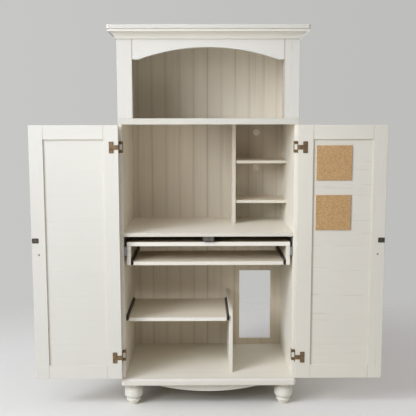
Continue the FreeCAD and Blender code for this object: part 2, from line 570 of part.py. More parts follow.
# ---------------------------------------------------------------- doors
def door():
    """Right door, open: inner face to the front, at depth 0 here. Returns its pieces."""
    x0, x1, z0, z1, w = DOOR_X0, DOOR_X1, DOOR_Z0, DOOR_Z1, DOOR_STILE
    v, u = DOOR_RAIL, LOCK_STILE
    ga, gb = PANEL_Y0 - 0.1, PANEL_Y1 + 0.1
    hs = bx(x0, x0 + w, 0, DOOR_T, z0, z1)
    ls = bx(x1 - u, x1, 0, DOOR_T, z0, z1)
    hs = ease(hs, 1.3, [("y", 0), ("y", DOOR_T)])
    ls = ease(ls, 1.3, [("y", 0), ("y", DOOR_T)])
    hs = hs.cut(bx(x0 + w - GROOVE, x0 + w + 1, ga, gb, z0 - 1, z1 + 1))
    ls = ls.cut(bx(x1 - u - 1, x1 - u + GROOVE, ga, gb, z0 - 1, z1 + 1))
    rails = []
    for a, b, inner in ((z0, z0 + v, 1), (z1 - v, z1, -1)):
        r = ease(bx(x0 + w, x1 - u, 0, DOOR_T, a, b), 1.3, [("y", 0), ("y", DOOR_T)])
        if inner > 0:
            r = r.cut(bx(x0, x1, ga, gb, b - GROOVE, b + 1))
            ta, tb = a, b - GROOVE
        else:
            r = r.cut(bx(x0, x1, ga, gb, a - 1, a + GROOVE))
            ta, tb = a + GROOVE, b
        # stub tenons in the stile grooves
        r = r.fuse(bx(x0 + w - TONGUE, x0 + w + 2, PANEL_Y0, PANEL_Y1, ta, tb))
        r = r.fuse(bx(x1 - u - 2, x1 - u + TONGUE, PANEL_Y0, PANEL_Y1, ta, tb))
        rails.append(r.removeSplitter())
    panel = bx(x0 + w - TONGUE, x1 - u + TONGUE, PANEL_Y0, PANEL_Y1, z0 + v - TONGUE, z1 - v + TONGUE)
    for k in range(BOARD_LINES):
        z = BOARD_Z0 + k * BOARD_PITCH
        for y, s in ((PANEL_Y0, 1), (PANEL_Y1, -1)):
            panel = panel.cut(prism_x([(y - s * 0.05, z - 0.55), (y - s * 0.05, z + 0.55), (y + s * 0.4, z)],
                                      x0 + w - TONGUE - 1, x1 - u + TONGUE + 1))
    # knuckle relief and screw holes
    leaves = list(door_leaves)
    fasteners = []
    for zc in HINGE_Z:
        hs = hs.cut(cyl(KNUCKLE_R + 0.4, (AXIS_X, LOCAL_Y, zc - HINGE_HALF - 2), (0, 0, 1), 2 * HINGE_HALF + 4))
        for dz in (-18.0, 18.0):
            p = ((LEAF_X[0] + LEAF_X[1]) / 2, -LEAF_T, zc + dz)
            hole = csk_hole(p, (0, 1, 0), 14.0)
            hs = hs.cut(hole)
            leaves = [s.cut(hole) for s in leaves]
            fasteners.append(csk_screw(p, (0, 1, 0), 14.0))
    # magnet strike with one screw
    sx0, sx1, sz0, sz1 = STRIKE
    strike = bx(sx0, sx1, -1.4, 0, sz0, sz1)
    strike = ease_line(strike, 2.0, [[("x", x), ("z", z)] for x in (sx0, sx1) for z in (sz0, sz1)])
    p = ((sx0 + sx1) / 2, -1.4, (sz0 + sz1) / 2)
    hole = csk_hole(p, (0, 1, 0), 13.0)
    ls = ls.cut(hole)
    strike = strike.cut(hole)
    fasteners.append(csk_screw(p, (0, 1, 0), 13.0))
    # knob on the outer face, drawn up by a screw from the inner face
    bolt = cyl(4.2, (KNOB_X, -2.0, KNOB_Z), (0, 1, 0), 2.0)
    bolt = ease(bolt, 1.2, [("y", -2.0)])
    bolt = bolt.fuse(cyl(2.0, (KNOB_X, -1.0, KNOB_Z), (0, 1, 0), DOOR_T + 11.0)).removeSplitter()
    slot = bx(KNOB_X - 3.4, KNOB_X + 3.4, -2.5, -1.2, KNOB_Z - 0.5, KNOB_Z + 0.5)
    bolt = bolt.cut(slot)
    fasteners.append(bolt)
    ls = ls.cut(cyl(2.06, (KNOB_X, -1.0, KNOB_Z), (0, 1, 0), DOOR_T + 2))
    def P(r, y):
        return V(KNOB_X + r, y + SHIFT_Y, KNOB_Z)
    c = []
    def line(a, b):
        c.append(Part.LineSegment(P(*a), P(*b)).toShape())
    def arc(a, m, b):
        c.append(Part.Arc(P(*a), P(*m), P(*b)).toShape())
    t = DOOR_T
    line((0, t), (10.0, t))
    arc((10.0, t), (10.6, t + 1.2), (9.0, t + 2.4))
    arc((9.0, t + 2.4), (6.4, t + 7.0), (8.5, t + 12.0))
    # round underside, rim, then a gently domed face
    arc((8.5, t + 12.0), (13.803, t + 14.197), (16.0, t + 19.5))
    arc((16.0, t + 19.5), (15.005, t + 22.655), (12.381, t + 24.668))
    line((12.381, t + 24.668), (9.0, t + 25.9))
    line((9.0, t + 25.9), (5.5, t + 26.7))
    line((5.5, t + 26.7), (2.0, t + 27.0))
    line((2.0, t + 27.0), (0, t + 27.0))
    line((0, t + 27.0), (0, t))
    knob = Part.Face(Part.Wire(c)).revolve(V(KNOB_X, SHIFT_Y, KNOB_Z), V(0, 1, 0), 360)
    knob = knob.cut(cyl(2.06, (KNOB_X, t - 1, KNOB_Z), (0, 1, 0), 12.5))
    return hs, ls, rails, panel, leaves, fasteners, strike, knob


def forward(s):
    """A door piece in its open place, in front of the case."""
    return s.translated(V(0, DOOR_DY, 0))


hs, ls, rails, panel, leaves, fasteners, strike, knob = door()
for side, f in (("right", forward), ("left", lambda s: mirror(forward(s)))):
    put(side + "_door_hinge_stile", f(hs))
    put(side + "_door_lock_stile", f(ls))
    put(side + "_door_rails", [f(s) for s in rails])
    put(side + "_door_panel", f(panel))
    put(side + "_door_hinge_leaves", [f(s) for s in leaves])
    put(side + "_door_screws", [f(s) for s in fasteners])
    put(side + "_door_strike", f(strike))
    put(side + "_door_knob", f(knob))
corks = []
for z0, z1 in CORK_Z:
    c = bx(CORK_X[0], CORK_X[1], PANEL_Y0 - CORK_T, PANEL_Y0, z0, z1)
    corks.append(forward(ease(c, 1.0, [("y", PANEL_Y0 - CORK_T)])))
put("cork_boards", corks)


# ---------------------------------------------------------------- ball-bearing slides
def slide(wall_x, sgn, z0, z1, y0, y1, cage_y, balls, lead):
    """Two-member slide: wall member, ball cage and moving member. sgn points off the wall. The moving
    member starts lead in front of the wall member and ends there in a stop tab."""
    t = 1.4
    yi = y0 - lead
    def b(s0, s1, ya, yb, za, zb):
        xa, xb = wall_x + sgn * s0, wall_x + sgn * s1
        return bx(min(xa, xb), max(xa, xb), ya, yb, za, zb)
    outer = b(0, t, y0, y1, z0, z1)
    for za, zb, la, lb in ((z1 - t, z1, z1 - t - 1.2, z1), (z0, z0 + t, z0, z0 + t + 1.2)):
        outer = outer.fuse(b(0, 9.6, y0, y1, za, zb)).fuse(b(8.2, 9.6, y0, y1, la, lb))
    inner = b(SLIDE_W - t, SLIDE_W, yi, y1, z0 + 5.2, z1 - 5.2)
    for za, zb in ((z1 - 6.6, z1 - 5.2), (z0 + 5.2, z0 + 6.6)):
        inner = inner.fuse(b(4.6, SLIDE_W, yi, y1, za, zb))
    if lead:
        inner = inner.fuse(b(1.0, SLIDE_W, yi, yi + t, z0 + 2.0, z1 - 2.0))
    ca, cb = cage_y
    cage = b(2.2, 3.0, ca, cb, z0 + 2.9, z1 - 2.9)
    for zc in (z1 - 3.3, z0 + 3.3):
        cage = cage.fuse(b(2.2, 7.8, ca, cb, zc - 0.4, zc + 0.4))
        for k in range(balls):
            y = ca + 8.0 + (cb - ca - 16.0) * k / (balls - 1)
            cage = cage.fuse(Part.makeSphere(1.6, V(wall_x + sgn * 5.9, y + SHIFT_Y, zc)))
    return outer.removeSplitter(), cage.removeSplitter(), inner.removeSplitter()


def slide_pair(name, walls, z, y, cage_y, balls, lead=0.0):
    outers, cages, inners = [], [], []
    for wall_x, sgn in walls:
        o, c, i = slide(wall_x, sgn, z[0], z[1], y[0], y[1], cage_y, balls, lead)
        outers.append(o)
        cages.append(c)
        inners.append(i)
    put(name + "_slide_outer", outers)
    put(name + "_slide_cage", cages)
    put(name + "_slide_inner", inners)


slide_pair("pullout", ((-IN, 1), (IN, -1)), (762.0, 807.0), (9.0, 466.0), (170.0, 460.0), 8, 5.0)
PULL_IN = PULL_HALF - PULL_T
slide_pair("tray", ((-PULL_IN, 1), (PULL_IN, -1)), (715.0, 741.0), (16.0, 400.0), (200.0, 390.0), 7)
slide_pair("printer", ((-IN, 1), (PARTITION_X[0], -1)), (423.0, 447.0), (63.0, 428.0), (205.0, 422.0), 7)

# ---------------------------------------------------------------- pull-out unit, tray and printer shelf
pt = ease(bx(-PULL_HALF, PULL_HALF, PULL_Y[0], PULL_Y[1], PULL_Z[1] - PULL_TOP, PULL_Z[1]), 1.5, [("y", PULL_Y[0])])
put("pullout_top", pt)
ps = ease(bx(PULL_IN, PULL_HALF, PULL_Y[0], PULL_Y[1], PULL_Z[0], PULL_Z[1] - PULL_TOP), 1.5, [("y", PULL_Y[0])])
put("pullout_sides", both(ps))
tray = ease(bx(-TRAY_HALF, TRAY_HALF, TRAY_Y[0], TRAY_Y[1], TRAY_Z[0], TRAY_Z[1]), 2.0, [("y", TRAY_Y[0])])
put("keyboard_tray", tray)
printer = ease(bx(PRINT_X[0], PRINT_X[1], PRINT_Y[0], PRINT_Y[1], PRINT_Z[0], PRINT_Z[1]), 2.0, [("y", PRINT_Y[0])])
put("printer_shelf", printer)

# ---------------------------------------------------------------- write
lo = [1e9] * 3
hi = [-1e9] * 3
for name, solids in nodes.items():
    shape = solids[0] if len(solids) == 1 else Part.makeCompound(solids)
    shape.exportStep("parts/" + name + ".step")
    b = shape.BoundBox
    for k, (a, c) in enumerate(((b.XMin, b.XMax), (b.YMin, b.YMax), (b.ZMin, b.ZMax))):
        lo[k] = min(lo[k], a)
        hi[k] = max(hi[k], c)
print(len(nodes), "nodes, box", [round(v, 2) for v in lo], [round(v, 2) for v in hi])
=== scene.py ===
"""Looks of the computer armoire: antique off-white paint over boards, grooved back panels,
cork boards, bronze hinges and zinc or black drawer slides, on a pale studio floor."""
import math

import bpy
from mathutils import Matrix, Vector


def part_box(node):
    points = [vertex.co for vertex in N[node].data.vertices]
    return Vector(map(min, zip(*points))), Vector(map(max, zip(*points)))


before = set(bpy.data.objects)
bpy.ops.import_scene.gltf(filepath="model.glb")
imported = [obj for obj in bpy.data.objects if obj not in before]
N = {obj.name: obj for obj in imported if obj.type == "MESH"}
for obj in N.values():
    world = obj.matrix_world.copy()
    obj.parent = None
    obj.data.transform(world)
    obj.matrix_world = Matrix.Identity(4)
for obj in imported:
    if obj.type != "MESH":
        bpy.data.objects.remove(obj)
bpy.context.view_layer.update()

scene = bpy.context.scene

# ------------------------------------------------------------------ camera, at the photo's angle
PITCH, YAW, ROLL = math.radians(7.454), math.radians(0.484), math.radians(0.076)
CAM_AT = Vector((-0.0315, -3.6925, 1.4480))
fwd = Vector((math.sin(YAW) * math.cos(PITCH), math.cos(YAW) * math.cos(PITCH), -math.sin(PITCH)))
right = Vector((math.cos(YAW), -math.sin(YAW), 0.0))
up = right.cross(fwd)
r2 = right * math.cos(ROLL) - up * math.sin(ROLL)
u2 = up * math.cos(ROLL) + right * math.sin(ROLL)
cam_data = bpy.data.cameras.new("camera")
cam = bpy.data.objects.new("camera", cam_data)
scene.collection.objects.link(cam)
m = Matrix.Identity(4)
for k in range(3):
    m[k][0], m[k][1], m[k][2], m[k][3] = r2[k], u2[k], -fwd[k], CAM_AT[k]
cam.matrix_world = m
cam_data.sensor_width = 36.0
cam_data.sensor_fit = "HORIZONTAL"
cam_data.lens = 721.0 / 416.0 * 36.0
cam_data.clip_end = 100.0
scene.camera = cam

scene.view_settings.view_transform = "Standard"
scene.view_settings.look = "None"
scene.view_settings.exposure = 0.0
scene.view_settings.gamma = 1.0


# ------------------------------------------------------------------ node helpers
class Tree:
    """A small builder for a material's nodes. Arguments may be sockets or plain numbers."""

    def __init__(self, name):
        self.mat = bpy.data.materials.new(name)
        self.mat.use_nodes = True
        self.nt = self.mat.node_tree
        self.nt.nodes.clear()
        self.out = self.nt.nodes.new("ShaderNodeOutputMaterial")
        self.bsdf = self.nt.nodes.new("ShaderNodeBsdfPrincipled")
        self.nt.links.new(self.bsdf.outputs["BSDF"], self.out.inputs["Surface"])
        self.coord = self.nt.nodes.new("ShaderNodeTexCoord").outputs["Object"]

    def put(self, socket, value):
        if isinstance(value, bpy.types.NodeSocket):
            self.nt.links.new(value, socket)
        elif isinstance(value, (tuple, list)) and socket.type == "RGBA" and len(value) == 3:
            socket.default_value = (*value, 1.0)
        else:
            socket.default_value = value

    def math(self, op, a, b=0.0, c=None, clamp=False):
        n = self.nt.nodes.new("ShaderNodeMath")
        n.operation = op
        n.use_clamp = clamp
        self.put(n.inputs[0], a)
        self.put(n.inputs[1], b)
        if c is not None:
            self.put(n.inputs[2], c)
        return n.outputs[0]

    def mapping(self, vec, scale=(1, 1, 1), loc=(0, 0, 0), rot=(0, 0, 0)):
        n = self.nt.nodes.new("ShaderNodeMapping")
        self.put(n.inputs["Vector"], vec)
        n.inputs["Scale"].default_value = scale
        n.inputs["Location"].default_value = loc
        n.inputs["Rotation"].default_value = rot
        return n.outputs[0]

    def xyz(self, vec):
        n = self.nt.nodes.new("ShaderNodeSeparateXYZ")
        self.put(n.inputs[0], vec)
        return n.outputs[0], n.outputs[1], n.outputs[2]

    def combine(self, x, y, z):
        n = self.nt.nodes.new("ShaderNodeCombineXYZ")
        for k, v in enumerate((x, y, z)):
            self.put(n.inputs[k], v)
        return n.outputs[0]

    def noise(self, vec, scale, detail=2.0, rough=0.5, distort=0.0):
        n = self.nt.nodes.new("ShaderNodeTexNoise")
        self.put(n.inputs["Vector"], vec)
        n.inputs["Scale"].default_value = scale
        n.inputs["Detail"].default_value = detail
        n.inputs["Roughness"].default_value = rough
        n.inputs["Distortion"].default_value = distort
        return n.outputs["Fac"]

    def voronoi(self, vec, scale, feature="F1", out="Distance", rand=1.0):
        n = self.nt.nodes.new("ShaderNodeTexVoronoi")
        n.feature = feature
        self.put(n.inputs["Vector"], vec)
        n.inputs["Scale"].default_value = scale
        n.inputs["Randomness"].default_value = rand
        return n.outputs[out]

    def step(self, v, a, b, lo=0.0, hi=1.0):
        """Smooth change from lo to hi as v goes from a to b."""
        n = self.nt.nodes.new("ShaderNodeMapRange")
        n.interpolation_type = "SMOOTHSTEP"
        self.put(n.inputs["Value"], v)
        n.inputs["From Min"].default_value = a
        n.inputs["From Max"].default_value = b
        n.inputs["To Min"].default_value = lo
        n.inputs["To Max"].default_value = hi
        return n.outputs["Result"]

    def mix(self, fac, a, b, mode="MIX"):
        n = self.nt.nodes.new("ShaderNodeMix")
        n.data_type = "RGBA"
        n.blend_type = mode
        self.put(n.inputs["Factor"], fac)
        self.put(n.inputs[6], a)
        self.put(n.inputs[7], b)
        return n.outputs[2]

    def ramp(self, fac, stops):
        n = self.nt.nodes.new("ShaderNodeValToRGB")
        cr = n.color_ramp
        while len(cr.elements) < len(stops):
            cr.elements.new(0.5)
        for e, (p, c) in zip(cr.elements, stops):
            e.position = p
            e.color = (*c, 1.0)
        self.put(n.inputs["Fac"], fac)
        return n.outputs["Color"]

    def bump(self, height, strength, distance, normal=None):
        n = self.nt.nodes.new("ShaderNodeBump")
        n.inputs["Strength"].default_value = strength
        n.inputs["Distance"].default_value = distance
        self.put(n.inputs["Height"], height)
        if normal is not None:
            self.put(n.inputs["Normal"], normal)
        return n.outputs["Normal"]

    def finish(self, color, rough, normal=None, metallic=0.0, **sockets):
        self.put(self.bsdf.inputs["Base Color"], color)
        self.put(self.bsdf.inputs["Roughness"], rough)
        self.bsdf.inputs["Metallic"].default_value = metallic
        if normal is not None:
            self.put(self.bsdf.inputs["Normal"], normal)
        for k, v in sockets.items():
            self.bsdf.inputs[k].default_value = v
        return self.mat


def seed_of(name):
    """A fixed offset for each piece, so that no two boards carry the same grain."""
    h = 0
    for ch in name:
        h = (h * 131 + ord(ch)) % 9973
    return (h % 97) * 0.37, (h % 89) * 0.53, (h % 83) * 0.71


def wear(node, mat):
    """Give a CAD node its material, in every slot."""
    o = N[node]
    if not o.material_slots:
        o.data.materials.append(mat)
    for slot in o.material_slots:
        slot.material = mat


# ------------------------------------------------------------------ antique paint
PAINT = (0.800, 0.750, 0.642)
BACK = (0.700, 0.640, 0.530)
PAINT_WARM = (0.745, 0.680, 0.552)
GLAZE = (0.330, 0.225, 0.130)
BARE = (0.290, 0.185, 0.105)


# each board's coat tone, with painted light and shade folded in: some boards are lightened or darkened to stand in for
# light the lamps don't give
BOARD_TONE_AND_SHADE = {"left_door": (0.90, 0.92, 0.94), "right_door": (0.945, 0.947, 0.937), "hutch_stiles": (0.855, 0.875, 0.90),
        "hutch_back_panel": (1.20, 1.19, 1.28), "left_side_panel": (1.06, 1.05, 1.04), "right_side_panel": (1.09, 1.09, 1.095),
        "bottom_panel": (1.11, 1.09, 1.07), "printer_shelf": (1.08, 1.04, 0.99), "desk_shelf": (1.06, 1.055, 1.05),
        "cubby": (0.96, 0.91, 0.85), "crown_top": (0.86, 0.875, 0.90), "crown_front": (0.955, 0.965, 0.98), "crown_left": (0.92, 0.93, 0.945),
        "crown_right": (0.965, 0.97, 0.985), "arched_rail": (0.88, 0.90, 0.935), "hutch_bottom_rail": (0.80, 0.815, 0.815),
        "keyboard_tray": (1.0, 0.95, 0.86), "middle_back_panel": (1.05, 1.045, 1.05), "lower_back_panel": (1.15, 1.13, 1.13),
        "base_front": (0.955, 0.955, 0.96), "apron": (0.88, 0.895, 0.905), "bun_feet": (0.99, 1.01, 1.02),
        "hutch_floor": (1.08, 1.06, 1.04), "hutch_top_panel": (1.06, 1.04, 1.01)}
# painted shade and light on the front edges: each edge band is darkened or lightened by these factors
FRONT_EDGE_SHADE_AND_LIGHT = {"desk_shelf": (0.81, 0.815, 0.81), "cubby_divider": (0.88, 0.92, 0.975), "keyboard_tray": (1.02, 1.075, 1.17), "printer_shelf": (1.0, 1.05, 1.115),
         "pullout_top": (1.07, 1.085, 1.10), "cubby_shelves": (0.94, 0.985, 1.05)}


def toned(node, color):
    for start, f in BOARD_TONE_AND_SHADE.items():
        if node.startswith(start):
            return tuple(min(0.88, c * k) for c, k in zip(color, f))
    return color


def edge_distance(t, low, high, mirror_x=False, fold_z=None):
    """Distance in metres from the nearest edge of a board, from its box. fold_z folds a pair of
    boards above and below that height onto one."""
    x, y, z = t.xyz(t.coord)
    if mirror_x:
        x = t.math("ABSOLUTE", x)
    if fold_z is not None:
        z = t.math("ABSOLUTE", t.math("SUBTRACT", z, fold_z))
    d = []
    for v, a, b in zip((x, y, z), low, high):
        d.append(t.math("ABSOLUTE", t.math("SUBTRACT", t.math("ABSOLUTE", t.math("SUBTRACT", v, (a + b) / 2)), (b - a) / 2)))
    small = t.math("MINIMUM", d[0], d[1])
    large = t.math("MAXIMUM", d[0], d[1])
    return t.math("MAXIMUM", small, t.math("MINIMUM", large, d[2]))


def scrapes(t, base, marks, along, s):
    """Listed scrapes where the glaze shows: (start, end, place across, half width, amount)."""
    x, y, z = t.xyz(t.coord)
    run, side = (x, z) if along == 0 else (z, x)
    ragged = t.noise(t.mapping(t.coord, (190.0, 190.0, 190.0), s), 1.0, 2.0, 0.6)
    sway = t.math("MULTIPLY", t.math("SUBTRACT", t.noise(t.mapping(t.coord, (9.0, 9.0, 9.0), s), 1.0, 1.0, 0.5), 0.5), 0.006)
    total = None
    for a, b, at, half, amount in marks:
        ends = (b - a) * 0.35
        inside = t.math("MULTIPLY", t.step(run, a, a + ends), t.step(run, b - ends * 0.6, b, 1.0, 0.0))
        d = t.math("ABSOLUTE", t.math("SUBTRACT", t.math("ADD", side, sway), at))
        hit = t.math("MULTIPLY", inside, t.step(d, half * 0.25, half, amount, 0.0))
        total = hit if total is None else t.math("MAXIMUM", total, hit)
    total = t.math("MULTIPLY", total, t.step(ragged, 0.30, 0.60, 0.45, 1.0))
    return t.mix(t.math("MULTIPLY", total, 0.55), base, (0.470, 0.330, 0.225))


def paint(node, grain="Z", color=PAINT, glaze=0.06, worn=0.18, box=None, mirror_x=False, fold_z=None,
          grooves=None, boards=None, streaks=0.0, inset=None, rough=0.46, bump=1.0, lines=0.05, marks=None, arris=0.0020, raw_and_shade=None, seams=None):
    """Brushed antique paint on one board. grain is the direction of its wood and of the brush."""
    t = Tree("paint_" + node)
    color = toned(node, color)
    s = seed_of(node)
    along = "XYZ".index(grain)
    def stretched(across, length):
        sc = [across] * 3
        sc[along] = length
        return t.mapping(t.coord, tuple(sc), s)
    fine = t.noise(stretched(520.0, 7.0), 1.0, 3.0, 0.6)
    mid = t.noise(stretched(105.0, 2.2), 1.0, 3.0, 0.55, 0.4)
    wide = t.noise(stretched(24.0, 1.0), 1.0, 2.0, 0.5, 0.6)
    blotch = t.noise(t.mapping(t.coord, (1, 1, 1), s), 2.6, 3.0, 0.55)
    speck = t.noise(t.mapping(t.coord, (1, 1, 1), s), 190.0, 2.0, 0.5)
    # paint film: a little lighter and darker along the brush marks and in broad patches
    tone = t.math("ADD", t.math("MULTIPLY", t.math("SUBTRACT", mid, 0.5), lines * 2.0),
                  t.math("MULTIPLY", t.math("SUBTRACT", blotch, 0.5), 0.14))
    tone = t.math("ADD", tone, t.math("MULTIPLY", t.math("SUBTRACT", fine, 0.5), lines * 1.6))
    tone = t.math("ADD", tone, 0.5)
    dark = tuple(c * f for c, f in zip(color, (0.80, 0.785, 0.75)))
    light = tuple(min(1.0, c * f) for c, f in zip(color, (1.17, 1.175, 1.19)))
    base = t.mix(tone, dark, light)
    # glaze rubbed into the grain
    rub = t.math("MULTIPLY", t.step(wide, 0.54, 0.76), t.step(fine, 0.48, 0.70))
    base = t.mix(t.math("MULTIPLY", rub, glaze), base, GLAZE)
    if streaks:
        # darker scraped streaks, sparse and long
        run = t.noise(stretched(130.0, 3.2), 1.0, 2.0, 0.5)
        patch = t.noise(t.mapping(t.coord, (5.0, 5.0, 7.0), s), 1.0, 2.0, 0.5)
        hit = t.math("MULTIPLY", t.step(run, 0.640, 0.71), t.step(patch, 0.50, 0.64))
        base = t.mix(t.math("MULTIPLY", hit, streaks), base, GLAZE)
    if grooves is not None:
        # glaze lies in the bead grooves and fades out beside them
        pitch, width, depth = grooves
        x = t.math("ADD", t.xyz(t.coord)[0], 0.0010)
        f = t.math("FRACT", t.math("ADD", t.math("DIVIDE", x, pitch), 100.5))
        d = t.math("MULTIPLY", t.math("ABSOLUTE", t.math("SUBTRACT", f, 0.5)), pitch)
        uneven = t.step(t.noise(stretched(40.0, 3.0), 1.0, 2.0, 0.5), 0.30, 0.65, 0.45, 1.0)
        which = t.math("FLOOR", t.math("ADD", t.math("DIVIDE", x, pitch), 0.5))
        own = t.noise(t.combine(t.math("MULTIPLY", which, 5.13), s[1], s[2]), 1.0, 0.0)
        uneven = t.math("MULTIPLY", uneven, t.step(own, 0.30, 0.68, 0.30, 1.0))
        # the middle one shows darkest
        uneven = t.math("MAXIMUM", uneven, t.step(t.math("ABSOLUTE", which), 0.4, 0.6, 1.45, 0.0))
        line = t.math("MULTIPLY", t.step(d, width * 0.20, width, depth, 0.0), uneven)
        base = t.mix(line, base, tuple(c * 0.45 for c in color))
        soft = t.step(d, width, width * 5.0, depth * 0.22, 0.0)
        base = t.mix(soft, base, GLAZE)
        # fine upright striations, here and there
        hair = t.noise(stretched(620.0, 1.6), 1.0, 1.0, 0.5)
        part_of = t.noise(stretched(11.0, 1.8), 1.0, 2.0, 0.5)
        hair = t.math("MULTIPLY", t.step(hair, 0.56, 0.74), t.step(part_of, 0.38, 0.62))
        base = t.mix(t.math("MULTIPLY", hair, 0.42), base, GLAZE)
        # each strip between two grooves is a little different
        strip = t.math("FLOOR", t.math("DIVIDE", x, pitch))
        each = t.noise(t.combine(t.math("MULTIPLY", strip, 4.37), s[0], s[1]), 1.0, 0.0)
        base = t.mix(t.math("MULTIPLY", t.step(each, 0.30, 0.70), 0.07), base, tuple(c * 0.72 for c in color))
        if node == "middle_back_panel":
            # toned to the photo: darker to the right, and a painted shadow behind the cubbies, darkest at the top
            x, y, z = t.xyz(t.coord)
            base = t.mix(t.step(x, -0.14, 0.12), base, (0.900, 0.920, 0.945), "MULTIPLY")
            cubby_painted_shadow = t.math("MULTIPLY", t.step(x, 0.132, 0.136), t.step(z, 0.98, 1.32))
            base = t.mix(cubby_painted_shadow, base, (0.82, 0.76, 0.70), "MULTIPLY")
        # the outer face is plain and has the same coat on all three panels
        y1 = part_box(node)[1][1]
        plain = t.mix(tone, tuple(c * 0.80 for c in BACK), tuple(c * 1.16 for c in BACK))
        base = t.mix(t.step(t.xyz(t.coord)[1], y1 - 0.0012, y1 - 0.0006), base, plain)
    if boards is not None:
        z0, pitch, width, amount = boards
        z = t.xyz(t.coord)[2]
        f = t.math("FRACT", t.math("ADD", t.math("DIVIDE", t.math("SUBTRACT", z, z0), pitch), 100.5))
        d = t.math("MULTIPLY", t.math("ABSOLUTE", t.math("SUBTRACT", f, 0.5)), pitch)
        broken = t.step(t.noise(stretched(30.0, 6.0), 1.0, 2.0, 0.5), 0.40, 0.64, 0.0, 1.0)
        line = t.math("MULTIPLY", t.step(d, width * 0.3, width, 1.0, 0.0), broken)
        base = t.mix(t.math("MULTIPLY", line, amount), base, GLAZE)
        # each board has its own slight tone
        row = t.math("FLOOR", t.math("DIVIDE", t.math("SUBTRACT", z, z0), pitch))
        each = t.noise(t.combine(t.math("MULTIPLY", row, 3.71), s[0], s[1]), 1.0, 0.0)
        base = t.mix(t.math("MULTIPLY", t.step(each, 0.35, 0.65), 0.05), base, tuple(c * 0.80 for c in color))
    # painted shade and light: the front edge band is darkened or lightened by its factors
    if node in FRONT_EDGE_SHADE_AND_LIGHT:
        y = t.xyz(t.coord)[1]
        y0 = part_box(node)[0][1]
        base = t.mix(t.step(y, y0 + 0.0010, y0 + 0.0022, 1.0, 0.0), base, FRONT_EDGE_SHADE_AND_LIGHT[node], "MULTIPLY")
    if seams:
        # glaze caught in a joint between two boards: (axis, place, half width, amount)
        for axis, at, half, amount in seams:
            d = t.math("ABSOLUTE", t.math("SUBTRACT", t.math("ABSOLUTE", t.xyz(t.coord)[axis]) if axis == 0 else t.xyz(t.coord)[axis], at))
            base = t.mix(t.math("MULTIPLY", t.step(d, half * 0.45, half, amount, 0.0), t.step(mid, 0.25, 0.60, 0.6, 1.0)), base, GLAZE)
    if marks:
        base = scrapes(t, base, marks, along, s)
    if raw_and_shade is not None:
        # unpainted board on the hidden faces, below the first height and above the second; its dark brown is partly
        # painted shade, darkening the gaps and shadowed faces around these boards
        z = t.xyz(t.coord)[2]
        wood = t.mix(t.step(mid, 0.30, 0.70), raw_and_shade[2], tuple(min(1.0, c * 1.55) for c in raw_and_shade[2]))
        raw_and_shade_mask = t.step(z, raw_and_shade[0] - 0.0004, raw_and_shade[0] + 0.0004, 1.0, 0.0)
        if raw_and_shade[1] is not None:
            raw_and_shade_mask = t.math("MAXIMUM", raw_and_shade_mask, t.step(z, raw_and_shade[1] - 0.0004, raw_and_shade[1] + 0.0004))
        base = t.mix(raw_and_shade_mask, base, wood)
    height = t.math("ADD", t.math("MULTIPLY", fine, 0.45), t.math("MULTIPLY", mid, 0.55))
    r = t.math("ADD", t.math("MULTIPLY", t.math("SUBTRACT", mid, 0.5), 0.16), rough)
    if box is None:
        box = tuple(map(tuple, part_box(node)))
    if box and worn:
        e = edge_distance(t, box[0], box[1], mirror_x, fold_z)
        # along the arrises the glaze gathers a little, and here and there the paint is rubbed through
        patchy = t.step(t.noise(t.mapping(t.coord, (1, 1, 1), s), 13.0, 3.0, 0.6), 0.40, 0.70)
        near = t.step(e, 0.0, arris * 2.0, 1.0, 0.0)
        base = t.mix(t.math("MULTIPLY", t.math("MULTIPLY", near, patchy), worn * 0.35), base, GLAZE)
        chip = t.math("ADD", t.math("MULTIPLY", speck, 0.5), t.math("MULTIPLY", t.noise(stretched(60.0, 14.0), 1.0, 3.0, 0.6), 0.5))
        rubbed = t.math("MULTIPLY", t.step(e, arris * 0.25, arris, 1.0, 0.0),
                        t.step(t.math("ADD", chip, t.math("MULTIPLY", patchy, 0.16)), 0.60, 0.68))
        base = t.mix(t.math("MULTIPLY", rubbed, worn), base, BARE)
        height = t.math("SUBTRACT", height, t.math("MULTIPLY", rubbed, 0.6))
        r = t.math("ADD", r, t.math("MULTIPLY", rubbed, 0.2))
    normal = t.bump(height, 0.28 * bump, 0.0010)
    wear(node, t.finish(base, r, normal, **{"Specular IOR Level": 0.40}))


# ------------------------------------------------------------------ other materials
def metal(name, color, rough, scratch_axis="Z", dark=0.55, tint=None, metallic=1.0):
    t = Tree(name)
    sc = [900.0] * 3
    sc["XYZ".index(scratch_axis)] = 30.0
    brushed = t.noise(t.mapping(t.coord, tuple(sc)), 1.0, 3.0, 0.6)
    patina = t.noise(t.coord, 55.0, 4.0, 0.6)
    spots = t.noise(t.coord, 420.0, 2.0, 0.5)
    c = t.mix(t.step(patina, 0.35, 0.68), tuple(v * dark for v in color), color)
    if tint:
        c = t.mix(t.math("MULTIPLY", t.step(spots, 0.55, 0.72), 0.5), c, tint)
    r = t.math("ADD", t.math("MULTIPLY", t.math("SUBTRACT", brushed, 0.5), 0.30), rough)
    r = t.math("ADD", r, t.math("MULTIPLY", t.math("SUBTRACT", patina, 0.5), 0.20))
    n = t.bump(t.math("ADD", t.math("MULTIPLY", brushed, 0.6), t.math("MULTIPLY", spots, 0.4)), 0.25, 0.0003)
    return t.finish(c, r, n, metallic)


def plastic(name, color, rough):
    t = Tree(name)
    grain = t.noise(t.coord, 1400.0, 2.0, 0.5)
    cloud = t.noise(t.coord, 30.0, 3.0, 0.5)
    c = t.mix(t.step(cloud, 0.3, 0.7), tuple(v * 0.86 for v in color), color)
    r = t.math("ADD", t.math("MULTIPLY", t.math("SUBTRACT", grain, 0.5), 0.18), rough)
    n = t.bump(grain, 0.25, 0.0002)
    return t.finish(c, r, n)


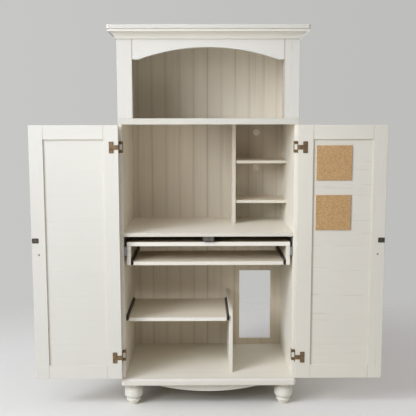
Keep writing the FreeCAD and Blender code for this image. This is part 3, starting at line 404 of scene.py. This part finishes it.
def cork():
    """Granulated cork: pressed grains in several browns with dark flecks and open pits."""
    t = Tree("cork")
    wob = t.noise(t.coord, 90.0, 2.0, 0.5)
    x, y, z = t.xyz(t.coord)
    p = t.combine(t.math("ADD", x, t.math("MULTIPLY", wob, 0.004)), y, t.math("ADD", z, t.math("MULTIPLY", wob, 0.004)))
    cell = t.nt.nodes.new("ShaderNodeTexVoronoi")
    t.put(cell.inputs["Vector"], p)
    cell.inputs["Scale"].default_value = 300.0
    pick = t.xyz(cell.outputs["Color"])
    gap = t.voronoi(p, 300.0, "DISTANCE_TO_EDGE")
    c = t.ramp(pick[0], [(0.0, (0.450, 0.258, 0.105)), (0.35, (0.535, 0.328, 0.142)), (0.72, (0.590, 0.370, 0.166)), (1.0, (0.672, 0.442, 0.222))])
    c = t.mix(t.math("MULTIPLY", t.step(gap, 0.0, 0.09, 1.0, 0.0), 0.24), c, (0.360, 0.200, 0.085))
    fleck = t.step(pick[1], 0.91, 0.95)
    c = t.mix(t.math("MULTIPLY", fleck, 0.55), c, (0.260, 0.135, 0.060))
    broad = t.noise(t.coord, 34.0, 4.0, 0.65)
    c = t.mix(t.math("MULTIPLY", t.step(broad, 0.40, 0.68), 0.24), c, (0.500, 0.300, 0.140))
    h = t.math("ADD", t.step(gap, 0.0, 0.16), t.math("MULTIPLY", pick[2], 0.6))
    n = t.bump(h, 0.45, 0.0008)
    return t.finish(c, 0.88, n, **{"Specular IOR Level": 0.25})


# ------------------------------------------------------------------ boards
RAIL, STUB = 0.068, 0.007
BOARD_Z0, BOARD_PITCH = 0.3274, 0.1223
# scrapes along the boards of the right door and on its outer stile
DOOR_MARKS = ((0.636, 0.756, 0.572, 0.0040, 0.55), (0.684, 0.770, 1.1835, 0.0026, 0.30), (0.676, 0.748, 1.0612, 0.0026, 0.26),
              (0.676, 0.770, 0.9389, 0.0024, 0.20), (0.495, 0.545, 0.8166, 0.0024, 0.28), (0.600, 0.684, 0.8166, 0.0026, 0.34),
              (0.586, 0.634, 0.6943, 0.0024, 0.28), (0.690, 0.745, 0.6943, 0.0024, 0.26), (0.488, 0.615, 0.4497, 0.0030, 0.36),
              (0.632, 0.756, 0.2815, 0.0028, 0.34), (0.560, 0.600, 0.840, 0.0022, 0.16))
STILE_MARKS = ((0.445, 0.482, 0.7795, 0.0026, 0.45), (0.336, 0.360, 0.7800, 0.0024, 0.40), (0.245, 0.276, 0.7800, 0.0024, 0.42),
               (1.170, 1.245, 0.8010, 0.0030, 0.26), (0.950, 1.040, 0.7930, 0.0032, 0.30), (0.560, 0.640, 0.8240, 0.0026, 0.16),
               (1.285, 1.345, 0.8120, 0.0028, 0.18))
HUTCH_MARKS = ((1.560, 1.700, 0.3900, 0.0042, 0.34), (1.725, 1.790, 0.3920, 0.0040, 0.40), (1.445, 1.500, 0.3780, 0.0036, 0.40),
               (1.480, 1.530, -0.3680, 0.0030, 0.22))
for side in ("left", "right"):
    paint(side + "_side_panel", "Z")
    worn_side = side == "right"
    paint(side + "_door_hinge_stile", "Z", glaze=0.05, worn=0.24)
    paint(side + "_door_lock_stile", "Z", glaze=0.09 if worn_side else 0.05, worn=0.24,
          streaks=0.15 if worn_side else 0.0, marks=STILE_MARKS if worn_side else None, seams=((0, 0.7798, 0.0016, 0.26),) if worn_side else None)
    lo_r, hi_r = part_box(side + "_door_rails")
    zc = (lo_r[2] + hi_r[2]) / 2
    paint(side + "_door_rails", "X", glaze=0.06, worn=0.22, fold_z=zc,
          box=((lo_r[0], lo_r[1], hi_r[2] - RAIL - zc), (hi_r[0], hi_r[1], hi_r[2] - zc)),
          seams=tuple((0, min(abs(lo_r[0]), abs(hi_r[0])) + k, 0.0024, 0.30) for k in (STUB, abs(hi_r[0] - lo_r[0]) - STUB)))
    paint(side + "_door_panel", "X", glaze=0.10 if worn_side else 0.05, worn=0.0, streaks=0.17 if worn_side else 0.0,
          boards=(BOARD_Z0, BOARD_PITCH, 0.0015, 0.12 if worn_side else 0.05), marks=DOOR_MARKS if worn_side else None)
# dark raw faces: partly unpainted board, partly painted shade under the base, under the desk and around the pull-out
# top
RAW_WOOD_AND_SHADE = (0.185, 0.145, 0.088)
RAW_AND_SHADE_FACES = {}
for node, both, shade in (("bottom_panel", False, 1.0), ("desk_shelf", False, 0.70), ("pullout_top", True, 1.7)):
    lo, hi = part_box(node)
    RAW_AND_SHADE_FACES[node] = (lo[2] + 0.0008, hi[2] - 0.0008 if both else None, tuple(c * shade for c in RAW_WOOD_AND_SHADE))
for node, grain in (("bottom_panel", "X"), ("desk_shelf", "X"), ("hutch_floor", "X"), ("hutch_top_panel", "X"),
                    ("hutch_bottom_rail", "X"), ("crown_top_board", "X"), ("cubby_divider", "Z"), ("lower_partition", "Z"),
                    ("pullout_top", "X"), ("keyboard_tray", "X"), ("printer_shelf", "X")):
    flat = node in ("bottom_panel", "desk_shelf", "printer_shelf", "keyboard_tray")
    paint(node, grain, raw_and_shade=RAW_AND_SHADE_FACES.get(node), lines=0.09 if flat else 0.05, glaze=0.16 if flat else 0.06)
lo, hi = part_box("hutch_stiles")
paint("hutch_stiles", "Z", mirror_x=True, box=((0.358, lo[1], lo[2]), (0.430, hi[1], hi[2])), marks=HUTCH_MARKS, glaze=0.08,
      seams=((0, 0.3590, 0.0030, 0.42),))
lo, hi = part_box("pullout_sides")
paint("pullout_sides", "Y", mirror_x=True, box=((0.379, lo[1], lo[2]), (0.398, hi[1], hi[2])))
paint("arched_rail", "X", worn=0.0, seams=((0, 0.358, 0.0034, 0.62),))
for node, grain in (("crown_front", "X"), ("crown_left", "Y"), ("crown_right", "Y"), ("base_front_moulding", "X"), ("apron", "X")):
    paint(node, grain, glaze=0.08, box=())
paint("cubby_shelves", "X", box=())
paint("bun_feet", "Z", box=(), glaze=0.10)
for node in ("hutch_back_panel", "middle_back_panel", "lower_back_panel"):
    paint(node, "Z", color=PAINT_WARM, glaze=0.12, worn=0.0, box=(), grooves=(0.076, 0.0036, 0.36), lines=0.13)

# ------------------------------------------------------------------ hardware
BRONZE = metal("bronze", (0.300, 0.200, 0.105), 0.46, "Z", 0.58, (0.10, 0.066, 0.036), metallic=0.72)
DARK = metal("dark_bronze", (0.112, 0.092, 0.073), 0.50, "X", 0.6, (0.05, 0.038, 0.028), metallic=0.35)
ZINC = metal("zinc", (0.33, 0.33, 0.322), 0.52, "Y", 0.80, (0.26, 0.26, 0.25), metallic=0.35)
BLACK = metal("black_steel", (0.060, 0.050, 0.040), 0.52, "Y", 0.7, (0.03, 0.026, 0.022), metallic=0.0)
BROWN = metal("brown_steel", (0.225, 0.180, 0.132), 0.52, "Y", 0.75, (0.12, 0.095, 0.07), metallic=0.0)
STEEL = metal("plated_steel", (0.33, 0.275, 0.215), 0.40, "Z", 0.7, (0.20, 0.155, 0.11))
for node in ("hinge_case_leaves", "hinge_pins", "left_door_hinge_leaves", "right_door_hinge_leaves", "left_door_knob", "right_door_knob"):
    wear(node, BRONZE)
for node in ("left_door_strike", "right_door_strike"):
    wear(node, DARK)
for node in ("pullout_slide_outer", "pullout_slide_inner", "pullout_slide_cage", "tray_slide_cage", "printer_slide_cage"):
    wear(node, ZINC)
for node in ("tray_slide_outer", "printer_slide_outer"):
    wear(node, BLACK)
for node in ("tray_slide_inner", "printer_slide_inner"):
    wear(node, BROWN)
for node in ("case_screws", "left_door_screws", "right_door_screws", "foot_bolts", "shelf_pins"):
    wear(node, STEEL)
wear("magnetic_catch", plastic("catch_plastic", (0.080, 0.070, 0.060), 0.55))
wear("catch_magnets", metal("magnet_plate", (0.110, 0.100, 0.087), 0.68, "X", 0.7, (0.07, 0.062, 0.054), metallic=0.0))
wear("cable_port_caps", plastic("cap_plastic", (0.840, 0.790, 0.670), 0.42))
wear("cork_boards", cork())

# ------------------------------------------------------------------ floor, backdrop and lights
def floor():
    me = bpy.data.meshes.new("floor")
    ring, n = 9.0, 96
    vs = [(0, 0, 0)] + [(ring * math.cos(2 * math.pi * k / n), ring * math.sin(2 * math.pi * k / n), 0) for k in range(n)]
    me.from_pydata(vs, [], [(0, k + 1, (k + 1) % n + 1) for k in range(n)])
    o = bpy.data.objects.new("floor", me)
    scene.collection.objects.link(o)
    t = Tree("floor")
    cloud = t.noise(t.coord, 1.3, 3.0, 0.5)
    c = t.mix(cloud, (0.828, 0.800, 0.716), (0.853, 0.825, 0.741))
    t.finish(c, 0.6, None, **{"Specular IOR Level": 0.2})
    # behind and beside the part the floor runs out into the backdrop with no edge; in front it goes on
    clear = t.nt.nodes.new("ShaderNodeBsdfTransparent")
    both = t.nt.nodes.new("ShaderNodeMixShader")
    x, y, z = t.xyz(t.coord)
    x = t.math("MULTIPLY", x, 0.6)
    y = t.math("MAXIMUM", y, t.math("MULTIPLY", y, -0.3))
    d = t.math("SQRT", t.math("ADD", t.math("MULTIPLY", x, x), t.math("MULTIPLY", y, y)))
    t.put(both.inputs[0], t.step(d, FADE[0], FADE[1]))
    t.nt.links.new(t.bsdf.outputs[0], both.inputs[1])
    t.nt.links.new(clear.outputs[0], both.inputs[2])
    t.nt.links.new(both.outputs[0], t.out.inputs["Surface"])
    me.materials.append(t.mat)


def backdrop():
    """A plain pale surround that only the camera sees, so that it lights nothing."""
    import bmesh
    me = bpy.data.meshes.new("backdrop")
    bm = bmesh.new()
    bmesh.ops.create_uvsphere(bm, u_segments=48, v_segments=24, radius=20.0)
    bm.to_mesh(me)
    bm.free()
    o = bpy.data.objects.new("backdrop", me)
    scene.collection.objects.link(o)
    for ray in ("visible_diffuse", "visible_glossy", "visible_transmission", "visible_volume_scatter", "visible_shadow"):
        setattr(o, ray, False)
    mat = bpy.data.materials.new("backdrop")
    mat.use_nodes = True
    nt = mat.node_tree
    nt.nodes.clear()
    out = nt.nodes.new("ShaderNodeOutputMaterial")
    em = nt.nodes.new("ShaderNodeEmission")
    # lit from the left, so the surround falls off a little to the right
    at = nt.nodes.new("ShaderNodeTexCoord")
    part = nt.nodes.new("ShaderNodeSeparateXYZ")
    nt.links.new(at.outputs["Object"], part.inputs[0])
    across = nt.nodes.new("ShaderNodeMapRange")
    across.interpolation_type = "SMOOTHSTEP"
    across.inputs["From Min"].default_value = -7.0
    across.inputs["From Max"].default_value = 7.0
    nt.links.new(part.outputs[0], across.inputs["Value"])
    fall = nt.nodes.new("ShaderNodeValToRGB")
    fall.color_ramp.elements[0].color = (0.568, 0.568, 0.557, 1.0)
    fall.color_ramp.elements[1].color = (0.516, 0.514, 0.502, 1.0)
    nt.links.new(across.outputs[0], fall.inputs["Fac"])
    nt.links.new(fall.outputs["Color"], em.inputs["Color"])
    nt.links.new(em.outputs[0], out.inputs["Surface"])
    me.materials.append(mat)


FADE = (0.80, 2.2)
floor()
backdrop()

world = bpy.data.worlds.new("studio")
scene.world = world
world.use_nodes = True
bg = world.node_tree.nodes["Background"]
bg.inputs["Strength"].default_value = 1.0
# soft light from overhead, fading out towards the horizon
sky = world.node_tree.nodes.new("ShaderNodeTexCoord")
part = world.node_tree.nodes.new("ShaderNodeSeparateXYZ")
world.node_tree.links.new(sky.outputs["Generated"], part.inputs[0])
dome = world.node_tree.nodes.new("ShaderNodeValToRGB")
dome.color_ramp.elements[0].color = (0.0, 0.0, 0.0, 1.0)
dome.color_ramp.elements[1].color = (0.773, 0.774, 0.854, 1.0)
world.node_tree.links.new(part.outputs[2], dome.inputs["Fac"])
world.node_tree.links.new(dome.outputs["Color"], bg.inputs["Color"])


def area(name, at, target, size, power, color=(1, 1, 1), spread=180.0):
    d = bpy.data.lights.new(name, "AREA")
    d.shape = "DISK"
    d.size = size
    d.energy = power
    d.color = color
    d.spread = math.radians(spread)
    o = bpy.data.objects.new(name, d)
    o.visible_camera = False
    scene.collection.objects.link(o)
    o.location = at
    o.rotation_euler = (Vector(target) - Vector(at)).to_track_quat("-Z", "Y").to_euler()
    return o


area("key_high", (-5.159, -3.821, 5.0), (0.0, 0.0, 1.1), 2.2, 251.5, (0.774, 0.856, 1.0))
area("key_low", (-4.249, -4.830, 3.1), (0.0, 0.0, 1.1), 2.2, 136.5, (0.847, 0.893, 1.0))
area("near", (-1.134, -1.699, 1.9), (0.15, 0.0, 1.45), 0.9, 8.0, (0.896, 0.929, 1.0))
area("front", (1.9, -4.2, 1.8), (0.0, -0.2, 1.0), 1.6, 5.1, (1.0, 0.976, 0.961))
# narrow soft beams into the open hutch and the bays, and light thrown up by the floor in front
area("beam_hutch", (-1.252, -2.900, 1.7), (0.32, 0.2, 1.60), 1.0, 0.48, (1.0, 0.991, 0.994), 30.0)
area("beam_bays", (-2.163, -2.263, 1.8), (0.40, 0.2, 0.85), 1.0, 0.68, (0.953, 0.967, 1.0), 40.0)
area("floor_bounce", (0.3, -3.6, 0.02), (0.0, 0.0, 1.6), 1.4, 0.92, (1.0, 0.985, 0.980), 45.0)
# weak light on the back and on the far side
area("fill_back", (0.8, 2.6, 0.5), (0.0, 0.3, 1.6), 1.2, 4.6, (1.0, 0.985, 0.960), 60.0)
area("fill_right", (3.4, 1.0, 0.6), (0.43, 0.1, 1.4), 1.5, 2.0, (1.0, 0.985, 0.960), 60.0)
